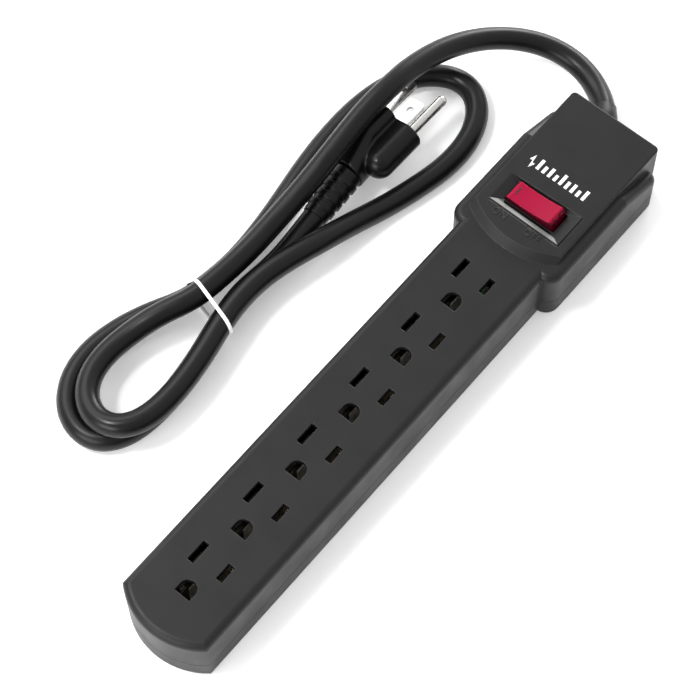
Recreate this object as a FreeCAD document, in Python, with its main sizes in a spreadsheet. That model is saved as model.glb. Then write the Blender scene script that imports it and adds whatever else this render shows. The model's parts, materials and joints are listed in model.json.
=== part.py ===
import FreeCAD, Part
import math
import os
import Sketcher
from FreeCAD import Placement, Rotation, Vector

# A six-outlet power strip with a rocker switch, its cord folded into a tied hank beside it.
# Millimetres and degrees. X runs along the strip towards the cord, Z is up, and the origin is
# at the middle of the housing's underside.

SIZES = {
    # housing
    "end_corner": (-127.9, "where the rounded end meets the sides"),
    "end_radius": (30.1, "radius of the rounded end"),
    "body_half": (20.0, "half width of the outlet body"),
    "face_top": (27.0, "height of the outlet face"),
    "wall": (2.2, "wall thickness"),
    "part_low": (9.5, "top edge of the bottom cover"),
    "part_high": (9.75, "lower edge of the top cover"),
    "edge_round": (3.0, "rounding of the upper edges"),
    "foot_round": (1.2, "rounding of the lower edges"),
    # switch head
    "shoulder": (62.5, "front of the head's shoulders"),
    "shoulder_radius": (6.0, "rounding of the shoulders"),
    "flange_half": (25.3, "half width of the head's flange"),
    "flange_rear": (131.0, "rear end of the flange"),
    "flange_corner": (4.5, "rear corner radius of the flange"),
    "slope_start": (109.5, "where the flange starts to slope down"),
    "slope_low": (18.6, "height of the slope at the flange's rear end"),
    "hood_half": (20.8, "half width of the raised hood"),
    "hood_front": (70.0, "front corners of the hood"),
    "hood_radius": (36.5, "radius of the hood's curved front"),
    "hood_rear": (135.5, "rear face of the housing"),
    "hood_corner": (2.0, "rear corner radius of the hood"),
    "hood_top": (29.3, "height of the hood"),
    "hood_bevel": (3.6, "run of the hood's sloping front"),
    "hood_round": (0.7, "rounding of the hood's upper edges"),
    # switch recess
    "recess_front": (76.5, "front edge of the recess"),
    "recess_rear": (91.8, "rear edge of the recess at its OFF end"),
    "recess_rear_on": (90.6, "rear edge of the recess at its ON end"),
    "recess_off": (-16.1, "OFF end of the recess"),
    "recess_on": (16.4, "ON end of the recess"),
    "rim_front": (79.9, "foot of the recess's front slope"),
    "rim_rear": (90.3, "foot of the recess's rear slope"),
    "rim_off": (-11.4, "foot of the recess's slope at OFF"),
    "rim_on": (12.4, "foot of the recess's slope at ON"),
    "rim_height": (27.5, "height of the slopes' feet"),
    "groove_width": (0.5, "width of the groove outside the recess"),
    "groove_rib": (0.4, "rib between the groove and the recess"),
    "groove_depth": (0.6, "depth of the groove"),
    # outlets
    "outlet_first": (46.55, "blade slots of the outlet next to the switch"),
    "outlet_pitch": (29.8, "spacing of the outlets"),
    "outlet_count": (6.0, "number of outlets"),
    "blade_offset": (6.35, "blade slot to centre line"),
    "neutral_slot": (9.0, "length of a neutral slot"),
    "hot_slot": (7.3, "length of a line slot"),
    "slot_width": (2.8, "width of a blade slot"),
    "ground_back": (16.0, "blade slots to the flat of the ground hole"),
    "ground_mid": (12.9, "blade slots to the centre of the ground hole"),
    "ground_half": (3.5, "radius of the ground hole"),
    # contacts
    "bus_low": (4.1, "underside of the bus bars"),
    "bus_thick": (0.8, "thickness of the bus bars"),
    "leaf_top": (21.0, "top of the contact leaves"),
    "leaf_thick": (0.5, "thickness of a contact leaf"),
    "blade_gap": (1.3, "gap between two blade leaves"),
    "pin_gap": (5.0, "gap between two ground leaves"),
    "carrier_low": (2.4, "underside of the contact carrier"),
    "carrier_thick": (1.6, "floor of the contact carrier"),
    # switch
    "switch_x": (85.2, "middle of the rocker"),
    "switch_y": (0.5, "middle of the rocker"),
    "pivot_z": (22.5, "height of the rocker's pivot"),
    "rocker_half_wide": (4.4, "half width of the rocker"),
    "rocker_half_long": (11.0, "half length of the rocker"),
    "rocker_crest": (9.35, "middle of the rocker to the crest at each end"),
    "rocker_high": (7.8, "pivot to the crests"),
    "rocker_dish": (55.0, "radius of the hollow between the crests"),
    "rocker_nose": (6.6, "pivot to the foot of each rounded end"),
    "nose_radius": (1.8, "radius of the rounded ends"),
    "rocker_tilt": (5.0, "tilt of the rocker either way"),
    "rocker_gap": (0.4, "gap beside the rocker"),
    "end_gap": (0.85, "rocker's end to the opening's end when level"),
    "trunnion_radius": (1.5, "rocker trunnions"),
    "trunnion_play": (0.05, "clearance round a trunnion"),
    "case_half_wide": (7.0, "half width of the switch housing"),
    "case_half_long": (13.2, "half length of the switch housing"),
    "case_low": (9.9, "underside of the switch housing"),
    "case_floor": (1.3, "thickness of the switch housing's floor and end walls"),
    "case_top": (24.75, "top of the switch housing"),
    "lever_tilt": (5.0, "tilt of the contact lever either way"),
    "lever_low": (12.9, "underside of the contact lever when level"),
    "lever_thick": (0.8, "thickness of the contact lever"),
    "lever_half": (8.5, "half length of the contact lever"),
    "terminal_wide": (6.3, "width of a switch terminal"),
    "terminal_thick": (0.8, "thickness of a switch terminal"),
    "terminal_pitch": (7.5, "spacing of the switch terminals"),
    # wall mounting
    "keyhole_front": (67.5, "slot centre of the keyhole at the switch"),
    "keyhole_spacing": (190.0, "spacing of the two keyholes"),
    "keyhole_slot": (2.1, "half width of a keyhole's slot"),
    "keyhole_entry": (4.3, "radius of a keyhole's entry"),
    "keyhole_length": (9.0, "length of a keyhole's slot"),
    # cord and plug
    "cord_radius": (4.7, "radius of the cord"),
    "exit_y": (9.0, "cord exit, sideways"),
    "exit_z": (10.5, "cord exit, height"),
    "wire_radius": (1.3, "radius of an insulated wire"),
    "plug_length": (28.6, "length of the plug's body"),
    "plug_half": (11.0, "half width of the plug's body"),
    "plug_flat": (-11.0, "flat side of the plug's body"),
    "plug_back": (2.0, "shoulder beside the ground lobe"),
    "plug_corner": (4.5, "corner radius of the plug's body"),
    "lobe_radius": (6.2, "radius of the ground lobe"),
    "lobe_length": (24.0, "length of the ground lobe"),
    "blade_plane": (-4.7, "plug axis to the blades"),
    "ground_plane": (7.2, "plug axis to the ground pin"),
    "blade_thick": (1.5, "thickness of a plug blade"),
    "blade_length": (17.5, "length of a plug blade"),
    "line_blade": (6.35, "width of the line blade"),
    "neutral_blade": (7.9, "width of the neutral blade"),
    "pin_radius": (2.4, "radius of the ground pin"),
    "pin_length": (21.4, "length of the ground pin"),
    "tie_width": (1.5, "width of the cord tie"),
    "tie_thick": (0.5, "thickness of the cord tie"),
}

# Screws that hold the covers together, from above: (x, y).
CASE_SCREWS = [(-118, 13.9), (-118, -13.9), (-28, 13.9), (-28, -13.9),
               (73, 15.5), (73, -15.5), (110, 16), (128.5, -14.5)]

POST_RADIUS = 3.5
SCREW_RADIUS = 1.5
SCREW_HEAD = 2.9
PILOT_DEPTH = 9.0
HEAD_SEAT = 4.0

# Posts under the circuit board, and the clamp that grips the cord inside the rear wall: its
# screws' distance from the cord, the radius and height of their heads, the foot of their shanks.
BOARD_POSTS = [(99, -16), (99, -5), (120, -16)]
BOARD_LOW = 5.0
CLAMP_X = (119.0, 126.0)
CLAMP_HALF = 9.5
CLAMP_SCREW = 7.2
CLAMP_HEAD = 2.3
CLAMP_HEAD_HIGH = 1.9
CLAMP_SHANK_FOOT = 5.2
CLAMP_TOP = 17.0

# Rocker: its underside and half length there; plunger and lamp inside it, from its pivot.
ROCKER_LOW = -3.2
ROCKER_FOOT = 6.5
PLUNGER_RADIUS = 1.9
LAMP_LINE = (-4.4, 1.2)
LAMP_END = 1.9
LAMP_RADIUS = 1.1

# Switch terminals: foot, contact height of the outer ones and of the middle one.
TERMINAL_FOOT = 4.2
OUTER_CONTACT = 11.7
MIDDLE_CONTACT = 12.75

# Surge discs on the board: their places along it, their line, radius and thickness, and the
# distance between the legs. The fuse's barrel lies beside them: start, line, radius and length.
DISC_PLACES = (101, 107, 113)
DISC_LINE = -11
DISC_RADIUS = 6.5
DISC_THICK = 4
LEG_SPREAD = 3.7
LEG_RADIUS = 0.4
FUSE_START = 102
FUSE_LINE = -4.2
FUSE_HIGH = 9.4
FUSE_RADIUS = 1.9
FUSE_LENGTH = 10

# Contact carrier, bus bars, and the cord's strain relief: radius in the wall, length outside,
# radius at the wall and how much it tapers, radius and thickness of the collar inside.
CARRIER_ENDS = (-112.0, 57.0)
BUS_HALF = 2.2
STRAIN_NECK = 6.1
RELIEF_LENGTH = 12.5
RELIEF_RADIUS = 6.6
RELIEF_TAPER = 1.5
COLLAR_RADIUS = 7.2
COLLAR_THICK = 1.8

# The plug's strain relief: radius at the plug and at the cord. Its rings: how many, the first
# one's place, their spacing, width and radius, and how much each is smaller than the one before.
TAIL_RADII = (6.0, 5.2)
RING_COUNT = 4
RING_START = 3.2
RING_STEP = 4.4
RING_WIDTH = 2.4
RING_RADIUS = 6.5
RING_TAPER = 0.2

# Plug prongs: how deep they are rooted, the blades' corner radius, their holes (from the tip,
# radius) and the pin's tip.
PRONG_ROOT = -9.0
BLADE_CORNER = 1.4
BLADE_HOLE = (5.0, 1.6)
PIN_TIP = 2.0

# The cord's route from the housing to the plug's strain relief: (x, y, z) of its centre line.
# It runs out behind the head, back over its own second turn and over the plug's shoulder,
# round the far loop, along the strip to the near loop, round both again underneath, to the plug.
CORD_ROUTE = [
    (135.5, 9, 10.5), (141.2, 9, 10.5), (147.2, 12.5, 9.2), (153, 19.3, 7.4), (157.7, 28.3, 6.7),
    (159.3, 39, 7.2), (156.5, 50.5, 9.2), (148.9, 61.3, 12.2), (137.2, 70, 16.3),
    (122.6, 75.6, 21), (105.8, 78, 25.4), (92.4, 77.8, 28.4), (76.7, 77.9, 28.6),
    (58, 77.1, 25.8), (39.9, 77, 20.8), (21.9, 77.7, 16.4), (4.6, 77.7, 14.8),
    (-12.8, 78.4, 15.8), (-24.7, 79.9, 16.2), (-37, 85.6, 15.2), (-49.4, 89.8, 12.2),
    (-61.3, 91.4, 11.3), (-71.9, 89.4, 11.6), (-79.9, 83.6, 12.4), (-83.8, 75, 13.6),
    (-81.8, 66.1, 14.5), (-73.1, 60.2, 14.8), (-58.7, 59, 14.5), (-40.5, 61.3, 14.3),
    (-20.2, 66, 14.5), (-5.4, 66.9, 14.3), (8.4, 65, 14.2), (25.9, 60, 13.4), (42.5, 57, 8.8),
    (57.8, 53.4, 4.9), (72.3, 49.4, 4.7), (88.8, 46, 4.7), (103.5, 46.6, 4.7), (115.5, 51.3, 4.7),
    (122.7, 59.3, 4.7), (123.7, 68.4, 4.7), (119.5, 76.8, 4.7), (111.8, 83.8, 4.7),
    (100, 89, 4.7), (81.8, 91.4, 4.7), (56.8, 89.8, 4.7), (26.6, 84.2, 4.7), (5.3, 82, 5),
    (-11.8, 83, 5.8), (-23.7, 85.4, 6.1), (-36.1, 92.6, 5.2), (-49.5, 97.6, 4.7),
    (-63.2, 99.4, 4.7), (-75.8, 96.7, 4.7), (-85.1, 89.5, 4.7), (-89.2, 79.7, 4.7),
    (-86.8, 70.4, 4.7), (-77.4, 64.2, 4.7), (-61.6, 62.4, 4.7), (-41.4, 64.4, 5),
    (-19.6, 69.2, 5.7), (-5.5, 71.1, 5.3), (10, 69.3, 5.2), (24, 69.2, 7.2), (36, 70, 9),
]


class Size:
    """A length known as a number and as the sheet expression that gives it."""

    def __init__(self, value, text):
        self.value = value
        self.text = text

    def __add__(self, other):
        return Size(self.value + worth(other), f"({self.text} + {words(other)})")

    def __radd__(self, other):
        return self + other

    def __sub__(self, other):
        return Size(self.value - worth(other), f"({self.text} - {words(other)})")

    def __rsub__(self, other):
        return -self + other

    def __mul__(self, other):
        return Size(self.value * worth(other), f"({self.text} * {words(other)})")

    def __rmul__(self, other):
        return self * other

    def __neg__(self):
        return self * -1


def worth(size):
    """The number behind a size."""
    return size.value if isinstance(size, Size) else float(size)


def words(size):
    """The expression behind a size."""
    return size.text if isinstance(size, Size) else f"({float(size):.6g})"


class Dimensions:
    """The sheet's cells, one Size for each alias."""


doc = FreeCAD.newDocument("PowerStrip")
sheet = doc.addObject("Spreadsheet::Sheet", "Sizes")
dim = Dimensions()
for row, (alias, (number, meaning)) in enumerate(SIZES.items(), start=1):
    sheet.set(f"A{row}", meaning)
    sheet.set(f"B{row}", str(number))
    sheet.setAlias(f"B{row}", alias)
    setattr(dim, alias, Size(number, f"Sizes.{alias}"))
doc.recompute()

nodes = []


def bind(thing, name, size):
    """Sets a property and, for a size from the sheet, the expression that keeps it."""
    setattr(thing, name, worth(size))
    if isinstance(size, Size):
        thing.setExpression(name, size.text)


def locate(thing, x, y, z, turn=None):
    """Puts a primitive in its place, bound to the sheet where its place is."""
    thing.Placement = Placement(Vector(worth(x), worth(y), worth(z)), turn or Rotation())
    for letter, size in zip("xyz", (x, y, z)):
        if isinstance(size, Size):
            thing.setExpression(f"Placement.Base.{letter}", size.text)


def node(name, thing):
    """Names a finished sub-part."""
    thing.Label = name
    nodes.append(thing)
    return thing


# ---- primitives and booleans ----

ALONG = {"x": Rotation(Vector(0, 1, 0), 90), "y": Rotation(Vector(1, 0, 0), -90), "z": Rotation()}


def block(x0, x1, y0, y1, z0, z1):
    box = doc.addObject("Part::Box", "Block")
    bind(box, "Length", x1 - x0)
    bind(box, "Width", y1 - y0)
    bind(box, "Height", z1 - z0)
    locate(box, x0, y0, z0)
    return box


def rod(x, y, z, radius, length, along="z"):
    cylinder = doc.addObject("Part::Cylinder", "Rod")
    bind(cylinder, "Radius", radius)
    bind(cylinder, "Height", length)
    locate(cylinder, x, y, z, ALONG[along])
    return cylinder


def ball(x, y, z, radius):
    sphere = doc.addObject("Part::Sphere", "Ball")
    bind(sphere, "Radius", radius)
    locate(sphere, x, y, z)
    return sphere


def fuse(*pieces):
    whole = doc.addObject("Part::MultiFuse", "Whole")
    whole.Shapes = list(pieces)
    return whole


def cut(base, *tools):
    rest = doc.addObject("Part::Cut", "Rest")
    rest.Base = base
    rest.Tool = tools[0] if len(tools) == 1 else fuse(*tools)
    return rest


def group(*pieces):
    several = doc.addObject("Part::Compound", "Group")
    several.Links = list(pieces)
    return several


def free_shape(name, shape, placement=None):
    """A sub-part whose shape is swept or built directly."""
    feature = doc.addObject("Part::Feature", "Shape")
    feature.Shape = shape
    if placement:
        feature.Placement = placement
    return node(name, feature)


# ---- sketches and bodies ----

def plane_of(body, role):
    return [item for item in body.Origin.OriginFeatures if item.Role == role][0]


def new_sketch(body, role, offset=0):
    sketch = body.newObject("Sketcher::SketchObject", "Sketch")
    sketch.AttachmentSupport = [(plane_of(body, role), "")]
    sketch.MapMode = "FlatFace"
    sketch.AttachmentOffset = Placement(Vector(0, 0, worth(offset)), Rotation())
    if isinstance(offset, Size):
        sketch.setExpression("AttachmentOffset.Base.z", offset.text)
    return sketch


def pin_point(sketch, edge, end, x, y):
    """Fixes a point of a sketch at x, y, on an axis where the distance is nothing."""
    for size, kind, axis in ((x, "DistanceX", -2), (y, "DistanceY", -1)):
        if abs(worth(size)) < 1e-9:
            sketch.addConstraint(Sketcher.Constraint("PointOnObject", edge, end, axis))
            continue
        index = sketch.addConstraint(Sketcher.Constraint(kind, edge, end, worth(size)))
        if isinstance(size, Size):
            sketch.setExpression(f"Constraints[{index}]", size.text)


def arc_between(start, end, radius):
    """The arc from start to end that bulges to the right of the way there."""
    chord = end - start
    side = Vector(-chord.y, chord.x, 0).normalize()
    reach = math.sqrt(radius ** 2 - (chord.Length / 2) ** 2)
    centre = (start + end) * 0.5 + side * reach
    angles = [math.atan2(point.y - centre.y, point.x - centre.x) for point in (start, end)]
    return Part.ArcOfCircle(Part.Circle(centre, Vector(0, 0, 1), radius), *angles)


def outline(sketch, corners, arcs=None):
    """A closed anticlockwise outline; arcs gives the radius of the edge after a corner.

    An arc bulges outwards, or inwards when its radius is negative.
    """
    arcs = arcs or {}
    first = sketch.GeometryCount
    spots = [Vector(worth(x), worth(y), 0) for x, y in corners]
    count = len(corners)
    inward = {index for index, radius in arcs.items() if worth(radius) < 0}
    for index, spot in enumerate(spots):
        after = spots[(index + 1) % count]
        ends = (after, spot) if index in inward else (spot, after)
        if index in arcs:
            sketch.addGeometry(arc_between(*ends, abs(worth(arcs[index]))), False)
        else:
            sketch.addGeometry(Part.LineSegment(*ends), False)
    for index, (x, y) in enumerate(corners):
        before = (index - 1) % count
        start = 2 if index in inward else 1
        arrival = 1 if before in inward else 2
        sketch.addConstraint(Sketcher.Constraint("Coincident", first + before, arrival,
                                                 first + index, start))
        pin_point(sketch, first + index, start, x, y)
    for index, radius in arcs.items():
        size = -radius if index in inward else radius
        number = sketch.addConstraint(Sketcher.Constraint("Radius", first + index, worth(size)))
        if isinstance(size, Size):
            sketch.setExpression(f"Constraints[{number}]", size.text)


def rectangle(sketch, x0, x1, y0, y1):
    outline(sketch, [(x0, y0), (x1, y0), (x1, y1), (x0, y1)])


def circle(sketch, x, y, radius):
    index = sketch.addGeometry(Part.Circle(Vector(worth(x), worth(y), 0), Vector(0, 0, 1),
                                           worth(radius)), False)
    pin_point(sketch, index, 3, x, y)
    number = sketch.addConstraint(Sketcher.Constraint("Radius", index, worth(radius)))
    if isinstance(radius, Size):
        sketch.setExpression(f"Constraints[{number}]", radius.text)


def volume_of(body):
    doc.recompute()
    return body.Shape.Volume if not body.Shape.isNull() else 0.0


def pad(body, sketch, length, backwards=False):
    before = volume_of(body)
    feature = body.newObject("PartDesign::Pad", "Pad")
    feature.Profile = sketch
    feature.Reversed = backwards
    bind(feature, "Length", length)
    if volume_of(body) <= before:
        raise SystemExit(f"{body.Label}: a pad adds nothing")
    return feature


def pocket(body, sketch, length, upwards=False, both_ways=False, taper=0):
    """Cuts against the sketch's normal, or along it when upwards is set."""
    before = volume_of(body)
    feature = body.newObject("PartDesign::Pocket", "Pocket")
    feature.Profile = sketch
    feature.Reversed = upwards
    feature.SideType = "Symmetric" if both_ways else "One side"
    bind(feature, "Length", length)
    feature.TaperAngle = taper
    if volume_of(body) >= before:
        raise SystemExit(f"{body.Label}: a pocket cuts nothing")
    return feature


def edges_where(feature, test, skip):
    """Names of a feature's edges whose points all pass the test and don't all pass skip."""
    names = []
    for number, edge in enumerate(feature.Shape.Edges, start=1):
        middle = edge.valueAt((edge.FirstParameter + edge.LastParameter) / 2)
        points = [vertex.Point for vertex in edge.Vertexes] + [middle]
        if all(test(point) for point in points) and not all(skip(point) for point in points):
            names.append(f"Edge{number}")
    return names


def round_edges(body, radius, test, skip=lambda point: False):
    """Rounds the edges of the body's last feature that pass the test."""
    last = body.Tip
    doc.recompute()
    feature = body.newObject("PartDesign::Fillet", "Fillet")
    feature.Base = (last, edges_where(last, test, skip))
    bind(feature, "Radius", radius)
    doc.recompute()
    return feature


def new_body(name):
    body = doc.addObject("PartDesign::Body", "Body")
    return node(name, body)


# ---- housing ----

def shell_outline(sketch):
    """The housing's outer plan: outlet body, rounded end, and the wider head."""
    half, flange, hood = dim.body_half, dim.flange_half, dim.hood_half
    turn, corner = dim.flange_corner, dim.hood_corner
    right = [(dim.end_corner, -half), (dim.shoulder, -half),
             (dim.shoulder + dim.shoulder_radius, -flange),
             (dim.flange_rear - turn, -flange), (dim.flange_rear, -flange + turn),
             (dim.hood_rear - corner, -hood), (dim.hood_rear, -hood + corner)]
    left = [(x, -y) for x, y in reversed(right)]
    arcs = {1: dim.shoulder_radius, 3: turn, 5: corner,
            7: corner, 9: turn, 11: dim.shoulder_radius, 13: dim.end_radius}
    outline(sketch, right + left, arcs)


def main_cavity(sketch):
    """The plan of the room inside the outlet body and under the hood."""
    side, head = dim.body_half - dim.wall, dim.hood_half - dim.wall
    step, back = dim.hood_front, dim.hood_rear - dim.wall
    end = dim.end_corner + 1.2
    right = [(end, -side), (step, -side), (step, -head), (back, -head)]
    left = [(x, -y) for x, y in reversed(right)]
    outline(sketch, right + left, {7: dim.end_radius - dim.wall})


def flange_cavity(sketch):
    side = dim.flange_half - dim.wall
    rectangle(sketch, dim.hood_front + 2, dim.flange_rear - dim.wall, -side, side)


def cord_hole(body):
    """The hole for the strain relief's neck, through the rear wall."""
    sketch = new_sketch(body, "YZ_Plane", dim.hood_rear + 1)
    circle(sketch, dim.exit_y, dim.exit_z, STRAIN_NECK)
    pocket(body, sketch, dim.wall + 2)


def hood_outline(sketch, front):
    """The hood's plan, with its curved front standing at the given corners."""
    half, corner, rear = dim.hood_half, dim.hood_corner, dim.hood_rear
    right = [(front, -half), (rear - corner, -half), (rear, -half + corner)]
    left = [(x, -y) for x, y in reversed(right)]
    outline(sketch, right + left, {1: corner, 3: corner, 5: dim.hood_radius})


def hood(body):
    """The raised hood: upright walls, and a curved front that slopes back to its top."""
    base = new_sketch(body, "XY_Plane", dim.part_high)
    hood_outline(base, dim.hood_front)
    pad(body, base, dim.face_top - dim.part_high)
    lower, upper = (new_sketch(body, "XY_Plane", height) for height in (dim.face_top, dim.hood_top))
    hood_outline(lower, dim.hood_front)
    hood_outline(upper, dim.hood_front + dim.hood_bevel)
    tier = body.newObject("PartDesign::AdditiveLoft", "Tier")
    tier.Profile = lower
    tier.Sections = [upper]
    tier.Ruled = True
    doc.recompute()
    top, rear, start = dim.hood_top.value, dim.hood_rear.value, dim.hood_front.value
    edge = dim.hood_half.value - dim.hood_corner.value
    round_edges(body, dim.hood_round, lambda p: p.z > top - 0.01 and p.x > start + 1
                and (abs(p.y) > edge - 0.01 or p.x > rear - 0.01))


def outlet_holes(body):
    """Blade slots and ground hole of one outlet, repeated along the strip."""
    sketch = new_sketch(body, "XY_Plane", dim.face_top)
    for side, length in ((1, dim.neutral_slot), (-1, dim.hot_slot)):
        middle = dim.blade_offset * side
        rectangle(sketch, dim.outlet_first - length * 0.5, dim.outlet_first + length * 0.5,
                  middle - dim.slot_width * 0.5, middle + dim.slot_width * 0.5)
    flat, centre = dim.outlet_first - dim.ground_back, dim.outlet_first - dim.ground_mid
    outline(sketch, [(flat, -dim.ground_half), (centre, -dim.ground_half),
                     (centre + dim.ground_half, 0), (centre, dim.ground_half),
                     (flat, dim.ground_half)],
            {1: dim.ground_half, 2: dim.ground_half})
    holes = pocket(body, sketch, dim.wall + 1)
    before = volume_of(body)
    rows = body.newObject("PartDesign::LinearPattern", "Outlets")
    rows.Originals = [holes]
    axis = [item for item in body.Origin.OriginFeatures if item.Role == "X_Axis"][0]
    rows.Direction = (axis, [""])
    rows.Reversed = True
    bind(rows, "Length", dim.outlet_pitch * (dim.outlet_count.value - 1))
    rows.Occurrences = int(dim.outlet_count.value)
    body.Tip = rows
    if volume_of(body) >= before:
        raise SystemExit("the outlets do not repeat")


def switch_recess(body):
    """The field that slopes down to the rocker on four sides, its outer groove, the opening."""
    upper, rim = (new_sketch(body, "XY_Plane", height) for height in (dim.hood_top, dim.rim_height))
    outline(upper, [(dim.recess_front, dim.recess_off), (dim.recess_rear, dim.recess_off),
                    (dim.recess_rear_on, dim.recess_on), (dim.recess_front, dim.recess_on)])
    rectangle(rim, dim.rim_front, dim.rim_rear, dim.rim_off, dim.rim_on)
    before = volume_of(body)
    slopes = body.newObject("PartDesign::SubtractiveLoft", "Slopes")
    slopes.Profile = upper
    slopes.Sections = [rim]
    slopes.Ruled = True
    if volume_of(body) >= before:
        raise SystemExit("the switch recess cuts nothing")
    groove = new_sketch(body, "XY_Plane", dim.hood_top)
    inner_x, inner_y = dim.recess_front - dim.groove_rib, dim.recess_off - dim.groove_rib
    outer_x, outer_y = inner_x - dim.groove_width, inner_y - dim.groove_width
    outline(groove, [(outer_x, outer_y), (dim.recess_rear, outer_y), (dim.recess_rear, inner_y),
                     (inner_x, inner_y), (inner_x, dim.recess_on), (outer_x, dim.recess_on)])
    pocket(body, groove, dim.groove_depth)
    opening = new_sketch(body, "XY_Plane", dim.rim_height)
    half_wide = dim.rocker_half_wide + dim.rocker_gap
    half_long = dim.rocker_half_long + dim.end_gap
    rectangle(opening, dim.switch_x - half_wide, dim.switch_x + half_wide,
              dim.switch_y - half_long, dim.switch_y + half_long)
    pocket(body, opening, dim.wall + 1)


def top_cover():
    body = new_body("top_cover")
    plan = new_sketch(body, "XY_Plane", dim.part_high)
    shell_outline(plan)
    pad(body, plan, dim.face_top - dim.part_high)
    slope = new_sketch(body, "XZ_Plane")
    outline(slope, [(dim.slope_start, dim.face_top), (dim.hood_rear + 1, dim.slope_low - 1.8),
                    (dim.hood_rear + 1, dim.face_top + 1), (dim.slope_start, dim.face_top + 1)])
    pocket(body, slope, 80, both_ways=True)
    bend, rear, low = dim.slope_start.value, dim.flange_rear.value, dim.slope_low.value - 1
    round_edges(body, dim.edge_round, lambda p: p.z > low and p.x < rear + 0.01,
                skip=lambda p: abs(p.x - bend) < 0.01 or p.x > rear - 0.01)
    hood(body)
    rooms = ((main_cavity, dim.face_top - dim.wall), (flange_cavity, dim.slope_low - dim.wall - 1.5))
    for draw, ceiling in rooms:
        room = new_sketch(body, "XY_Plane", dim.part_high)
        draw(room)
        pocket(body, room, ceiling - dim.part_high, upwards=True)
    attic = new_sketch(body, "XY_Plane", dim.part_high)
    side = dim.hood_half - dim.wall
    rectangle(attic, dim.recess_rear + 3, dim.flange_rear - 8, -side, side)
    pocket(body, attic, dim.hood_top - dim.wall - dim.part_high, upwards=True)
    switch_recess(body)
    outlet_holes(body)
    posts = new_sketch(body, "XY_Plane", dim.part_high)
    for x, y in CASE_SCREWS:
        circle(posts, x, y, POST_RADIUS)
    pad(body, posts, dim.face_top - dim.wall * 0.5 - dim.part_high)
    pilots = new_sketch(body, "XY_Plane", dim.part_high)
    for x, y in CASE_SCREWS:
        circle(pilots, x, y, SCREW_RADIUS + 0.1)
    pocket(body, pilots, PILOT_DEPTH, upwards=True)
    cord_hole(body)


def bottom_cover():
    body = new_body("bottom_cover")
    plan = new_sketch(body, "XY_Plane")
    shell_outline(plan)
    pad(body, plan, dim.part_low)
    round_edges(body, dim.foot_round, lambda p: p.z < 0.01)
    for draw in (main_cavity, flange_cavity):
        room = new_sketch(body, "XY_Plane", dim.part_low)
        draw(room)
        pocket(body, room, dim.part_low - dim.wall)
    posts = new_sketch(body, "XY_Plane", dim.wall * 0.5)
    for x, y in CASE_SCREWS:
        circle(posts, x, y, POST_RADIUS + 0.6)
    for x, y in BOARD_POSTS:
        circle(posts, x, y, 2.5)
    pad(body, posts, dim.part_low - dim.wall * 0.5)
    lowered = new_sketch(body, "XY_Plane", dim.part_low)
    for x, y in BOARD_POSTS:
        circle(lowered, x, y, 2.6)
    pocket(body, lowered, dim.part_low - BOARD_LOW)
    cradle = new_sketch(body, "XY_Plane", dim.wall * 0.5)
    rectangle(cradle, *CLAMP_X, dim.exit_y - CLAMP_HALF, dim.exit_y + CLAMP_HALF)
    pad(body, cradle, dim.part_low - dim.wall * 0.5)
    groove = new_sketch(body, "YZ_Plane", CLAMP_X[1] + 1)
    circle(groove, dim.exit_y, dim.exit_z, dim.cord_radius + 0.05)
    pocket(body, groove, CLAMP_X[1] - CLAMP_X[0] + 2)
    for depth, radius in ((dim.part_low + 1, SCREW_RADIUS + 0.2), (HEAD_SEAT, SCREW_HEAD + 0.3)):
        holes = new_sketch(body, "XY_Plane")
        for x, y in CASE_SCREWS:
            circle(holes, x, y, radius)
        pocket(body, holes, depth, upwards=True)
    screws = new_sketch(body, "XY_Plane", dim.part_low)
    for side in (-1, 1):
        circle(screws, (CLAMP_X[0] + CLAMP_X[1]) / 2, dim.exit_y + CLAMP_SCREW * side,
               SCREW_RADIUS + 0.1)
    pocket(body, screws, 5)
    slots = new_sketch(body, "XY_Plane")
    for x in (dim.keyhole_front, dim.keyhole_front - dim.keyhole_spacing):
        run = dim.keyhole_length * 0.5 - dim.keyhole_slot
        outline(slots, [(x - run, -dim.keyhole_slot), (x + run, -dim.keyhole_slot),
                        (x + run, dim.keyhole_slot), (x - run, dim.keyhole_slot)],
                {1: dim.keyhole_slot + 0.001, 3: dim.keyhole_slot + 0.001})
    pocket(body, slots, dim.wall + 1, upwards=True)
    entries = new_sketch(body, "XY_Plane")
    for x in (dim.keyhole_front, dim.keyhole_front - dim.keyhole_spacing):
        circle(entries, x + dim.keyhole_length * 0.5 + dim.keyhole_entry - 1.2, 0,
               dim.keyhole_entry)
    pocket(body, entries, dim.wall + 1, upwards=True)
    cord_hole(body)


def case_screws():
    """Self-tapping screws up through the bottom cover into the top cover's posts."""
    screws = []
    for x, y in CASE_SCREWS:
        head = rod(x, y, HEAD_SEAT - 2.0, SCREW_HEAD, 2.0)
        shank = rod(x, y, HEAD_SEAT - 0.5, SCREW_RADIUS, dim.part_high + 8 - HEAD_SEAT)
        slot_long = block(x - 2, x + 2, y - 0.4, y + 0.4, HEAD_SEAT - 3.0, HEAD_SEAT - 1.0)
        slot_wide = block(x - 0.4, x + 0.4, y - 2, y + 2, HEAD_SEAT - 3.0, HEAD_SEAT - 1.0)
        screws.append(cut(fuse(head, shank), slot_long, slot_wide))
    node("case_screws", group(*screws))


# ---- contacts ----

def outlet_places():
    return [dim.outlet_first - dim.outlet_pitch * place
            for place in range(int(dim.outlet_count.value))]


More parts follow.
